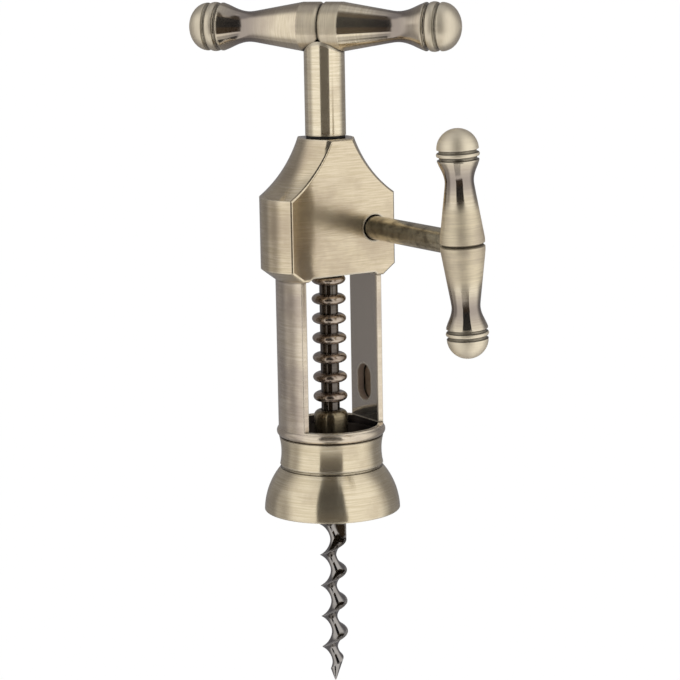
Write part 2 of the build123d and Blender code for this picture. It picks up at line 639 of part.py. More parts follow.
# Worm: one sharp edge wound round a thin core, with a point below and a tang above
run_out_low_z = (WORM_EDGE_Z + RUN_OUT_RISE
                 + WORM_PITCH * (RUN_OUT_ANGLE - WORM_EDGE_ANGLE) / 360)
run_out_mid_z = run_out_low_z + WORM_PITCH / 2
run_out_high_z = run_out_low_z + WORM_PITCH
blade = wound(blade_outline(), WORM_TIP_Z, run_out_high_z)
turning_half = half_disc(-RUN_OUT_BACK, WORM_R + OVER)
open_half_low = wound(turning_half, run_out_low_z, run_out_mid_z)
open_half_high = wound(turning_half, run_out_mid_z, run_out_high_z)
with BuildPart() as worm_shank_back:
    with BuildSketch(Plane.XY.offset(run_out_mid_z)):
        add(half_disc(RUN_OUT_ANGLE + 180, WORM_R))
    extrude(amount=WORM_SHANK_TOP_Z - run_out_mid_z)
    add(open_half_high, mode=Mode.SUBTRACT)
with BuildPart() as worm:
    # Where the groove runs out the shank is full on one side of a flat wall
    with BuildSketch(Plane.XY.offset(run_out_low_z)):
        add(half_disc(RUN_OUT_ANGLE, WORM_R))
    extrude(amount=WORM_SHANK_TOP_Z - run_out_low_z)
    add(open_half_low, mode=Mode.SUBTRACT)
    add(blade)
    add(worm_shank_back.part)
    # Point: the edge and the core run down to a cone
    with BuildSketch(Plane.XZ):
        with BuildLine():
            Polyline((0, WORM_TIP_Z), (WORM_TIP_R, WORM_TIP_Z), (WORM_R + JOINED, WORM_TAPER_Z),
                     (WORM_R + JOINED, WORM_SHANK_TOP_Z), (0, WORM_SHANK_TOP_Z), close=True)
        make_face()
    revolve(axis=Axis.Z, mode=Mode.INTERSECT)
    # Tang that the socket holds
    with BuildSketch(Plane.XY.offset(WORM_SHANK_TOP_Z)):
        Circle(TANG_R)
    extrude(amount=TANG_TOP_Z - WORM_SHANK_TOP_Z)
    with BuildSketch(Plane.YZ.offset(-SOCKET_R)):
        with Locations((0, SOCKET_PIN_Z)):
            Circle(SOCKET_PIN_R + JOINED)
    extrude(amount=2 * SOCKET_R, mode=Mode.SUBTRACT)
save(worm.part, "worm")
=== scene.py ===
"""Looks of a rack and pinion corkscrew in antique brass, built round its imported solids."""
import logging
import math
from dataclasses import dataclass, field
from enum import Enum

import bpy
from mathutils import Matrix, Vector


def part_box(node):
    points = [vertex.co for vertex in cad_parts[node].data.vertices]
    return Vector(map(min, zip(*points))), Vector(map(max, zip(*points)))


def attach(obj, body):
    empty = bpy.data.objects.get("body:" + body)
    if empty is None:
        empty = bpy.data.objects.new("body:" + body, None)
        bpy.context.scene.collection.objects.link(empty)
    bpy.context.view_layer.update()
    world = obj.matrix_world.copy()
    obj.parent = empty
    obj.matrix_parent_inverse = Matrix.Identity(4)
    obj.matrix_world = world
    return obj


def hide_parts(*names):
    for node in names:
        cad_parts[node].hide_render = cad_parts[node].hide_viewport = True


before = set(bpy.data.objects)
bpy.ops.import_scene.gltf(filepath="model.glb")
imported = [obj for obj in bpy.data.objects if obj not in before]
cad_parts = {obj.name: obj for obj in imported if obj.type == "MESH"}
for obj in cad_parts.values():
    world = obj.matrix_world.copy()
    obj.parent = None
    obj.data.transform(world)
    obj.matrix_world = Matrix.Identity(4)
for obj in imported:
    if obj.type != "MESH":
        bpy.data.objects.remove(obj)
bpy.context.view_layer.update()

logging.basicConfig(level=logging.INFO, format="%(message)s")
LOG = logging.getLogger("corkscrew")

MM = 0.001
# How the bar and the side grip lie, and where their middles are, in millimetres
BAR_ANGLE = math.radians(-51.0)
BAR_CENTRE = (0.0, 0.0, 153.55)
GRIP_LEAN = math.radians(-3.1)
GRIP_CENTRE = (11.54, -57.7, 90.7)
# A place times this is the place brought down to the level plane
LEVEL = (1.0, 1.0, 0.0)


def linear(code: str) -> tuple[float, float, float, float]:
    """Turn an sRGB hex colour into linear values.

    Args:
        code: Six hex digits, with or without a leading hash.

    Returns:
        Red, green and blue in linear light, and an alpha of one.
    """
    code = code.lstrip("#")
    values = [int(code[i:i + 2], 16) / 255 for i in (0, 2, 4)]
    red, green, blue = (v / 12.92 if v <= 0.04045 else ((v + 0.055) / 1.055) ** 2.4
                        for v in values)
    return red, green, blue, 1.0


def add(tree: bpy.types.NodeTree, kind: str, settings: dict | None = None,
        **inputs: object) -> bpy.types.Node:
    """Add a node, set its properties and fill or link its inputs.

    Args:
        tree: The node tree that takes the node.
        kind: Blender's type name of the node.
        settings: Properties of the node, by name.
        **inputs: Values or output sockets for inputs, by name with underscores for spaces; iN
            names an input by its place.

    Returns:
        The new node.
    """
    node = tree.nodes.new(kind)
    for name, value in (settings or {}).items():
        setattr(node, name, value)
    for name, value in inputs.items():
        at = int(name[1:]) if name[0] == "i" and name[1:].isdigit() else name.replace("_", " ")
        if isinstance(value, bpy.types.NodeSocket):
            tree.links.new(value, node.inputs[at])
        else:
            node.inputs[at].default_value = value
    return node


def bare_material(name: str) -> bpy.types.Material:
    """Make a material whose node tree is still empty.

    Args:
        name: What the material is called.

    Returns:
        The new material.
    """
    made = bpy.data.materials.new(name)
    made.use_nodes = True
    made.node_tree.nodes.clear()
    return made


class Axis(Enum):
    """Line that a piece was turned or brushed about, as a direction of length one."""

    UPRIGHT = (0.0, 0.0, 1.0)
    BAR = (math.cos(BAR_ANGLE), math.sin(BAR_ANGLE), 0.0)
    SHAFT = (0.0, -1.0, 0.0)
    GRIP = (math.sin(GRIP_LEAN), 0.0, math.cos(GRIP_LEAN))


@dataclass
class Zone:
    """A stretch of one surface with a colour, smoothness and mirror image of its own.

    One that lies over the rest gets no patina and painted shade in corners, nor wear and painted
    highlight along edges.
    """

    share: bpy.types.NodeSocket
    colour: str
    colour_share: float
    roughness: float
    draw_out: float = 1.0
    over: bool = False


@dataclass(frozen=True)
class BrushedMetal:
    """Metal brushed round an axis: pale ground, darker lines, tarnish, patina and painted shade
    in corners, edges bright with wear and painted highlight.

    Its mirror image is drawn out along the axis and stays sharp round it, as fine lines do. The
    dull share is the patina left in the lines, which does not mirror. Real brush lines are a few
    hundredths of a millimetre apart, too fine to show, so these are drawn as coarse as they need.
    """

    name: str
    pale: str
    deep: str
    tarnish: str
    corner: str
    edge: str
    roughness: float
    axis: Axis = Axis.UPRIGHT
    centre: tuple[float, float, float] = (0.0, 0.0, 0.0)
    draw_out: float = 1.0
    dull_share: float = 0.09
    line_mm: float = 0.42
    line_length_mm: float = 9.0
    line_detail: float = 3.0
    line_grain: float = 0.6
    line_depth: float = 0.65
    line_from: float = 0.3
    line_to: float = 0.7
    patch_mm: float = 11.0
    patch_detail: float = 4.0
    patch_grain: float = 0.55
    patch_share: float = 0.55
    patch_from: float = 0.42
    patch_to: float = 0.72
    corner_mm: float = 1.5
    corner_share: float = 0.92
    corner_from: float = 0.88
    corner_to: float = 0.45
    edge_mm: float = 0.8
    edge_share: float = 0.8
    edge_from: float = 0.95
    edge_to: float = 0.55
    edge_roughness: float = 0.55
    rough_from: float = 0.25
    rough_to: float = 0.75
    rough_in_lines: float = 1.12
    rough_between: float = 0.9
    bump_mm: float = 0.006
    bump_strength: float = 0.5
    lacquer: float = 0.15
    lacquer_roughness: float = 0.12

    def place(self, tree: bpy.types.NodeTree) -> bpy.types.NodeSocket:
        """Find the place on the piece, from its centre and with its axis stood upright.

        Args:
            tree: The node tree that takes the nodes.

        Returns:
            The place's socket, in metres.
        """
        spot = add(tree, "ShaderNodeTexCoord").outputs["Object"]
        moved = add(tree, "ShaderNodeMapping", Vector=spot,
                    Location=[-value * MM for value in self.centre]).outputs[0]
        turn = Vector(self.axis.value).rotation_difference(Vector(Axis.UPRIGHT.value)).to_euler()
        return add(tree, "ShaderNodeVectorRotate", {"rotation_type": "EULER_XYZ"}, Vector=moved,
                   Rotation=turn).outputs[0]

    def lines(self, tree: bpy.types.NodeTree) -> bpy.types.NodeSocket:
        """Draw the brush lines round the axis.

        Args:
            tree: The node tree that takes the nodes.

        Returns:
            The lines' socket, from nought in a line to one between two.
        """
        across, along = 1 / (self.line_mm * MM), 1 / (self.line_length_mm * MM)
        drawn = add(tree, "ShaderNodeMapping", Vector=self.place(tree),
                    Scale=(along, along, across)).outputs[0]
        return add(tree, "ShaderNodeTexNoise", Vector=drawn, Scale=1.0, Detail=self.line_detail,
                   Roughness=self.line_grain).outputs[0]

    def worn_and_highlit(self, tree: bpy.types.NodeTree) -> bpy.types.NodeSocket:
        """Find where the metal is rubbed bright and given a painted highlight, along its outer
        edges.

        Args:
            tree: The node tree that takes the nodes.

        Returns:
            The socket of the wear and painted highlight, from nought to one.
        """
        into = add(tree, "ShaderNodeAmbientOcclusion", {"samples": 8, "inside": True},
                   Distance=self.edge_mm * MM).outputs["AO"]
        return add(tree, "ShaderNodeMapRange", i0=into, i1=self.edge_from, i2=self.edge_to,
                   i3=0.0, i4=1.0).outputs[0]

    def ground(self, tree: bpy.types.NodeTree,
               lines: bpy.types.NodeSocket) -> bpy.types.NodeSocket:
        """Return the colour of the metal with its lines and patches.

        Args:
            tree: The node tree that takes the nodes.
            lines: The brush lines, from nought to one.

        Returns:
            The colour's socket.
        """
        depth = add(tree, "ShaderNodeMapRange", {"interpolation_type": "SMOOTHSTEP"}, i0=lines,
                    i1=self.line_from, i2=self.line_to, i3=self.line_depth, i4=0.0).outputs[0]
        colour = add(tree, "ShaderNodeMix", {"data_type": "RGBA"}, i0=depth,
                     i6=linear(self.pale), i7=linear(self.deep)).outputs[2]
        patches = add(tree, "ShaderNodeTexNoise", Vector=self.place(tree),
                      Scale=1 / (self.patch_mm * MM), Detail=self.patch_detail,
                      Roughness=self.patch_grain).outputs[0]
        dull = add(tree, "ShaderNodeMapRange", {"interpolation_type": "SMOOTHSTEP"}, i0=patches,
                   i1=self.patch_from, i2=self.patch_to, i3=0.0, i4=self.patch_share).outputs[0]
        return add(tree, "ShaderNodeMix", {"data_type": "RGBA"}, i0=dull, i6=colour,
                   i7=linear(self.tarnish)).outputs[2]

    def aged_with_painted_light(self, tree: bpy.types.NodeTree, colour: bpy.types.NodeSocket,
             worn_and_highlit: bpy.types.NodeSocket) -> bpy.types.NodeSocket:
        """Return a colour with wear and painted highlight on edges, patina and painted shade in
        corners and grooves.

        Args:
            tree: The node tree that takes the nodes.
            colour: The colour that is aged.
            worn_and_highlit: How far the metal is rubbed bright and given a painted highlight,
                from nought to one.

        Returns:
            The colour's socket.
        """
        # Painted highlight, together with wear, in the edge colour along the outer edges
        bright = add(tree, "ShaderNodeMath", {"operation": "MULTIPLY"}, i0=worn_and_highlit,
                     i1=self.edge_share).outputs[0]
        colour = add(tree, "ShaderNodeMix", {"data_type": "RGBA"}, i0=bright, i6=colour,
                     i7=linear(self.edge)).outputs[2]
        # Painted shade, together with patina, in the corner colour in corners and grooves
        outward = add(tree, "ShaderNodeAmbientOcclusion", {"samples": 8},
                      Distance=self.corner_mm * MM).outputs["AO"]
        dark = add(tree, "ShaderNodeMapRange", {"interpolation_type": "SMOOTHSTEP"}, i0=outward,
                   i1=self.corner_from, i2=self.corner_to, i3=0.0,
                   i4=self.corner_share).outputs[0]
        return add(tree, "ShaderNodeMix", {"data_type": "RGBA"}, i0=dark, i6=colour,
                   i7=linear(self.corner)).outputs[2]

    def zones(self, tree: bpy.types.NodeTree) -> list[Zone]:
        """Return the stretches that differ from the rest; a plain surface has none."""
        return []

    def coloured(self, tree: bpy.types.NodeTree, lines: bpy.types.NodeSocket,
                 worn_and_highlit: bpy.types.NodeSocket, zones: list[Zone]) -> bpy.types.NodeSocket:
        """Return the whole colour: ground, zones, age with painted shade and highlight, and the
        zones that lie over the rest.

        Args:
            tree: The node tree that takes the nodes.
            lines: The brush lines, from nought to one.
            worn_and_highlit: How far the metal is rubbed bright and given a painted highlight,
                from nought to one.
            zones: The stretches that differ from the rest.

        Returns:
            The colour's socket.
        """
        colour = self.ground(tree, lines)
        for over in (False, True):
            for zone in zones:
                if zone.over is over and zone.colour_share:
                    part = add(tree, "ShaderNodeMath", {"operation": "MULTIPLY"}, i0=zone.share,
                               i1=zone.colour_share).outputs[0]
                    colour = add(tree, "ShaderNodeMix", {"data_type": "RGBA"}, i0=part,
                                 i6=colour, i7=linear(zone.colour)).outputs[2]
            if not over:
                colour = self.aged_with_painted_light(tree, colour, worn_and_highlit)
        return colour

    def material(self) -> bpy.types.Material:
        """Build the metal's material.

        Returns:
            The new material.
        """
        made = bare_material(self.name)
        tree = made.node_tree
        lines, worn_and_highlit = self.lines(tree), self.worn_and_highlit(tree)
        zones = sorted(self.zones(tree), key=lambda zone: zone.over)
        colour = self.coloured(tree, lines, worn_and_highlit, zones)
        rough = add(tree, "ShaderNodeMapRange", i0=lines, i1=self.rough_from, i2=self.rough_to,
                    i3=self.roughness * self.rough_in_lines,
                    i4=self.roughness * self.rough_between).outputs[0]
        drawn = self.draw_out
        for zone in zones:
            rough = add(tree, "ShaderNodeMix", {"data_type": "FLOAT"}, i0=zone.share, i2=rough,
                        i3=zone.roughness).outputs[0]
            # What is drawn out alike all over stays a plain number on the shader's own socket
            if drawn != zone.draw_out:
                drawn = add(tree, "ShaderNodeMix", {"data_type": "FLOAT"}, i0=zone.share,
                            i2=drawn, i3=zone.draw_out).outputs[0]
        rough = add(tree, "ShaderNodeMix", {"data_type": "FLOAT"}, i0=worn_and_highlit, i2=rough,
                    i3=self.edge_roughness).outputs[0]
        bump = add(tree, "ShaderNodeBump", Strength=self.bump_strength,
                   Distance=self.bump_mm * MM, Height=lines).outputs[0]
        line = add(tree, "ShaderNodeCombineXYZ", i0=self.axis.value[0], i1=self.axis.value[1],
                   i2=self.axis.value[2]).outputs[0]
        tangent = add(tree, "ShaderNodeVectorTransform", {"vector_type": "VECTOR",
                      "convert_from": "OBJECT", "convert_to": "WORLD"}, Vector=line).outputs[0]
        shader = add(tree, "ShaderNodeBsdfPrincipled", Base_Color=colour, Roughness=rough,
                     Metallic=1.0 - self.dull_share, Normal=bump, Tangent=tangent,
                     Anisotropic=drawn, Coat_Weight=self.lacquer,
                     Coat_Roughness=self.lacquer_roughness).outputs[0]
        add(tree, "ShaderNodeOutputMaterial", Surface=shader)
        return made


@dataclass(frozen=True)
class TurnedGripMetal(BrushedMetal):
    """A turned grip: buffed tapers, satin knobs and middle, and a pinkish cast at the waists.

    Its lengths are measured along the axis from the grip's middle, the same both ways.
    """

    knob_mm: float = 34.0
    knob_soft_mm: float = 1.5
    knob_share: float = 0.6
    knob_roughness: float = 0.45
    knob_draw_out: float = 0.5
    middle_mm: float = 6.4
    middle_soft_mm: float = 0.6
    middle_roughness: float = 0.34
    middle_draw_out: float = 1.0
    waist_mm: float = 25.0
    waist_width_mm: float = 13.0
    waist: str = "#9E928A"
    waist_share: float = 0.9

    def zones(self, tree: bpy.types.NodeTree) -> list[Zone]:
        """Mark the waists, the knobs and the middle.

        Args:
            tree: The node tree that takes the nodes.

        Returns:
            The three zones, of which the middle keeps the ground's colour.
        """
        along = add(tree, "ShaderNodeSeparateXYZ", Vector=self.place(tree)).outputs[2]
        out = add(tree, "ShaderNodeMath", {"operation": "ABSOLUTE"}, i0=along).outputs[0]
        off = add(tree, "ShaderNodeMath", {"operation": "SUBTRACT"}, i0=out,
                  i1=self.waist_mm * MM).outputs[0]
        near = add(tree, "ShaderNodeMath", {"operation": "ABSOLUTE"}, i0=off).outputs[0]
        waist, knob, middle = (
            add(tree, "ShaderNodeMapRange", {"interpolation_type": "SMOOTHSTEP"}, i0=reach,
                i1=none_mm * MM, i2=whole_mm * MM, i3=0.0, i4=1.0).outputs[0]
            for reach, none_mm, whole_mm in (
                (near, self.waist_width_mm, 0.0),
                (out, self.knob_mm, self.knob_mm + self.knob_soft_mm),
                (out, self.middle_mm + self.middle_soft_mm, self.middle_mm)))
        return [Zone(waist, self.waist, self.waist_share, self.roughness),
                Zone(knob, self.edge, self.knob_share, self.knob_roughness, self.knob_draw_out),
                Zone(middle, self.pale, 0.0, self.middle_roughness, self.middle_draw_out)]


@dataclass(frozen=True)
class BarrelMetal(BrushedMetal):
    """The barrel's brass: legs ground mirror-smooth inside, their hollows dull, the bore painted
    black as shade.

    The flats and hollows of the legs are told by how far they are to either side of the axis, and
    the bore by how far it is from the axis all round.
    """

    leg_inner_mm: float = 12.92
    ring_top_mm: float = 27.65
    face: str = "#C6BCAE"
    face_roughness: float = 0.05
    bore_mm: float = 15.15
    bore_drop_mm: float = 0.35
    # Dark colour of the painted shade in the ring's bore, below the ring's top
    bore: str = "#241C19"
    bore_share: float = 0.96
    bore_roughness: float = 0.3
    hollow_mm: float = 15.1
    hollow_half_mm: float = 3.8
    hollow: str = "#D8C8C2"
    hollow_share: float = 0.6
    hollow_roughness: float = 0.6

    def zones(self, tree: bpy.types.NodeTree) -> list[Zone]:
        """Mark the legs' inner faces, the ring's bore, which is painted dark as shade, and the
        legs' hollows.

        Args:
            tree: The node tree that takes the nodes.

        Returns:
            The three zones, of which the bore and the hollows lie over the rest.
        """
        spot = add(tree, "ShaderNodeSeparateXYZ", Vector=self.place(tree)).outputs
        side, aside = (add(tree, "ShaderNodeMath", {"operation": "ABSOLUTE"},
                           i0=spot[at]).outputs[0] for at in (0, 1))
        flat = add(tree, "ShaderNodeCombineXYZ", i0=spot[0], i1=spot[1], i2=0.0).outputs[0]
        out = add(tree, "ShaderNodeVectorMath", {"operation": "LENGTH"}, i0=flat).outputs[1]
        shares = []
        for limits in (
                ((side, "LESS_THAN", self.leg_inner_mm),
                 (spot[2], "GREATER_THAN", self.ring_top_mm)),
                ((out, "LESS_THAN", self.bore_mm),
                 (spot[2], "LESS_THAN", self.ring_top_mm - self.bore_drop_mm)),
                ((side, "GREATER_THAN", self.leg_inner_mm),
                 (side, "LESS_THAN", self.hollow_mm),
                 (aside, "LESS_THAN", self.hollow_half_mm),
                 (spot[2], "GREATER_THAN", self.ring_top_mm))):
            share = 1.0
            for reach, test, limit_mm in limits:
                within = add(tree, "ShaderNodeMath", {"operation": test}, i0=reach,
                             i1=limit_mm * MM).outputs[0]
                share = add(tree, "ShaderNodeMath", {"operation": "MULTIPLY"}, i0=within,
                            i1=share).outputs[0]
            shares.append(share)
        return [Zone(shares[0], self.face, 1.0, self.face_roughness),
                Zone(shares[1], self.bore, self.bore_share, self.bore_roughness, over=True),
                Zone(shares[2], self.hollow, self.hollow_share, self.hollow_roughness, 0.0,
                     over=True)]


@dataclass(frozen=True)
class BellMetal(BrushedMetal):
    """The bell's brass: brushed outside, and painted dark inside as shade."""

    # Dark colour of the painted shade inside the bell
    inside: str = "#3A3029"
    inside_share: float = 0.85
    inside_roughness: float = 0.35

    def zones(self, tree: bpy.types.NodeTree) -> list[Zone]:
        """Mark the bell's inside, where the surface faces the axis, for its painted shade.

        Args:
            tree: The node tree that takes the nodes.

        Returns:
            The one zone, which lies over the rest.
        """
        spot = self.place(tree)
        flat = add(tree, "ShaderNodeVectorMath", {"operation": "MULTIPLY"}, i0=spot,
                   i1=LEVEL).outputs[0]
        facing = add(tree, "ShaderNodeTexCoord").outputs["Normal"]
        outward = add(tree, "ShaderNodeVectorMath", {"operation": "DOT_PRODUCT"}, i0=flat,
                      i1=facing).outputs[1]
        inside = add(tree, "ShaderNodeMath", {"operation": "LESS_THAN"}, i0=outward,
                     i1=0.0).outputs[0]
        return [Zone(inside, self.inside, self.inside_share, self.inside_roughness, over=True)]


# Antique brass: brass darkened all over, brushed back to cream where the hand goes, then
# lacquered, so it shines softly; its corners and grooves are dark with patina and painted shade
BLOCK_BRASS = BrushedMetal(
    "antique_brass_block", pale="#E9D9BD", deep="#C6B592", tarnish="#B9A78F", corner="#43362A",
    edge="#FFF6E2", roughness=0.12, patch_mm=15.0, patch_share=0.7, bump_mm=0.012)
COVER_BRASS = BrushedMetal(
    "antique_brass_cover", pale="#DCCDB0", deep="#BFAE90", tarnish="#AC9B80", corner="#4A3D30",
    edge="#EFE4CC", roughness=0.3)
BARREL_BRASS = BarrelMetal(
    "antique_brass_barrel", pale="#E9DBC6", deep="#C9B9A0", tarnish="#B4A599", corner="#3A2F26",
    edge="#F9EED8", roughness=0.2, line_length_mm=12.0, patch_share=0.7)
BELL_BRASS = BellMetal(
    "antique_brass_bell", pale="#EEE0C3", deep="#D0BF9D", tarnish="#BFAE93", corner="#3A2F26",
    edge="#F9EED8", roughness=0.2, line_length_mm=14.0)
STEM_BRASS = BrushedMetal(
    "antique_brass_stem", pale="#F8EBCF", deep="#DCCBAB", tarnish="#CBBAA0", corner="#2E241D",
    edge="#F9EED8", roughness=0.2, line_length_mm=10.0)
BAR_BRASS = TurnedGripMetal(
    "antique_brass_bar", pale="#EEE0C6", deep="#D4C4A7", tarnish="#C0AF9D", corner="#120D0A",
    edge="#F4E9D2", roughness=0.09, axis=Axis.BAR, centre=BAR_CENTRE, dull_share=0.03,
    corner_mm=1.1, corner_share=0.98, corner_from=0.94, corner_to=0.74)
GRIP_BRASS = TurnedGripMetal(
    "antique_brass_grip", pale="#F4E7CB", deep="#D8C9AC", tarnish="#C3B3A1", corner="#1D1613",
    edge="#FAEFD8", roughness=0.1, axis=Axis.GRIP, centre=GRIP_CENTRE, dull_share=0.03,
    corner_share=0.78, corner_from=0.95, corner_to=0.6, knob_mm=25.0, knob_roughness=0.55,
    knob_draw_out=0.2, middle_mm=9.0, middle_soft_mm=7.0, middle_roughness=0.6,
    middle_draw_out=0.1, waist_mm=19.5, waist_width_mm=9.0)
# Brass left at its darkest, only wiped, so the shaft is olive and mottled along its length
SHAFT_BRASS = BrushedMetal(
    "tarnished_brass_shaft", pale="#D0C4A8", deep="#A29578", tarnish="#766A54", corner="#1E1812",
    edge="#D0C4A8", roughness=0.24, axis=Axis.SHAFT, draw_out=0.5, line_mm=9.0,
    line_length_mm=1.4, patch_mm=4.0, patch_share=0.9)
# Bronzed brass: brown with a pink cast on the rings; the core between them is glossy and painted
# nearly black as shade
RING_BRONZE = BrushedMetal(
    "bronzed_brass_rings", pale="#CDBEAE", deep="#9C8C7C", tarnish="#80685C", corner="#120E0C",
    edge="#E0D2C0", roughness=0.18, draw_out=0.4, dull_share=0.04, patch_mm=7.0,
    patch_share=0.8, corner_mm=2.0)
CORE_BRONZE = BrushedMetal(
    "bronzed_brass_core", pale="#7A726A", deep="#5F5750", tarnish="#4A423C", corner="#0E0C0B",
    edge="#7A726A", roughness=0.1, draw_out=0.4, dull_share=0.03, patch_mm=3.0, corner_mm=2.4)
# Blackened brass: dark olive, with the metal's own colour back only along its edges, by wear and
# painted highlight
SOCKET_BRASS = BrushedMetal(
    "blackened_brass_socket", pale="#A89A7E", deep="#7C6E56", tarnish="#5C4E3A",
    corner="#17110B", edge="#C3B492", roughness=0.2, dull_share=0.05, corner_mm=1.6)
# Carbon steel, polished and bare: grey, glossy, without a lay, and dark in its grooves only by
# painted shade
WORM_STEEL = BrushedMetal(
    "polished_steel_worm", pale="#A8A39E", deep="#948F8A", tarnish="#87817C", corner="#1B1817",
    edge="#C9C5C1", roughness=0.1, draw_out=0.0, dull_share=0.0, line_depth=0.3, patch_mm=4.0,
    corner_mm=0.9)
# Turned steel of the pins, stud and pinion: grey and satin
PLAIN_STEEL = BrushedMetal(
    "plain_steel", pale="#B5B2AE", deep="#8E8A86", tarnish="#7D7975", corner="#2A2826",
    edge="#D0CDC9", roughness=0.3, draw_out=0.3, dull_share=0.05)
# Bearing bronze: cast and bored, redder and duller than the brass round it
BUSH_BRONZE = BrushedMetal(
    "bearing_bronze", pale="#B08A55", deep="#8D6C3F", tarnish="#7A5C36", corner="#2C2014",
    edge="#C9A570", roughness=0.32, draw_out=0.3, dull_share=0.05)


@dataclass(frozen=True)
class BlackFibre:
    """A thin washer of pressed black fibre, dull and slightly uneven."""

    name: str = "black_fibre"
    ground: str = "#161413"
    fleck: str = "#2B2825"
    grain_mm: float = 0.5
    fleck_from: float = 0.45
    fleck_to: float = 0.7
    roughness: float = 0.7
    bump_mm: float = 0.03
    bump_strength: float = 0.4

    def material(self) -> bpy.types.Material:
        """Build the fibre's material.

        Returns:
            The new material.
        """
        made = bare_material(self.name)
        tree = made.node_tree
        place = add(tree, "ShaderNodeTexCoord").outputs["Object"]
        grain = add(tree, "ShaderNodeTexNoise", Vector=place,
                    Scale=1 / (self.grain_mm * MM)).outputs[0]
        share = add(tree, "ShaderNodeMapRange", i0=grain, i1=self.fleck_from,
                    i2=self.fleck_to).outputs[0]
        colour = add(tree, "ShaderNodeMix", {"data_type": "RGBA"}, i0=share,
                     i6=linear(self.ground), i7=linear(self.fleck)).outputs[2]
        bump = add(tree, "ShaderNodeBump", Strength=self.bump_strength,
                   Distance=self.bump_mm * MM, Height=grain).outputs[0]
        shader = add(tree, "ShaderNodeBsdfPrincipled", Base_Color=colour,
                     Roughness=self.roughness, Normal=bump).outputs[0]
        add(tree, "ShaderNodeOutputMaterial", Surface=shader)
        return made


Finish = BrushedMetal | BlackFibre


@dataclass
class SubAssembly:
    """A group of pieces that go together, with one finish for each CAD node."""

    finishes: dict[str, Finish] = field(default_factory=dict)

    def dress(self) -> None:
        """Give each CAD node of the group its finished material."""
        made: dict[str, bpy.types.Material] = {}
        for node, finish in self.finishes.items():
            if finish.name not in made:
                made[finish.name] = finish.material()
            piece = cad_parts[node]
            piece.data.materials.clear()
            piece.data.materials.append(made[finish.name])
            LOG.info("dressed %s in %s", node, finish.name)


@dataclass
class Casing(SubAssembly):
    """The gear housing with its bushes and rear cover."""

    finishes: dict[str, Finish] = field(default_factory=lambda: {
        "gear_housing": BLOCK_BRASS, "rear_cover": COVER_BRASS, "front_bush": BUSH_BRONZE,
        "rear_bush": BUSH_BRONZE})


@dataclass
class Barrel(SubAssembly):
    """The two-legged barrel, its pins and the bell."""

    finishes: dict[str, Finish] = field(default_factory=lambda: {
        "barrel_frame": BARREL_BRASS, "leg_pins": PLAIN_STEEL, "bell": BELL_BRASS})


@dataclass
class SideDrive(SubAssembly):
    """The side grip, its shaft and the pinion with its washers and pin."""

    finishes: dict[str, Finish] = field(default_factory=lambda: {
        "side_handle": GRIP_BRASS, "pinion_shaft": SHAFT_BRASS, "pinion_gear": PLAIN_STEEL,
        "pinion_washers": BUSH_BRONZE, "pinion_pin": PLAIN_STEEL})


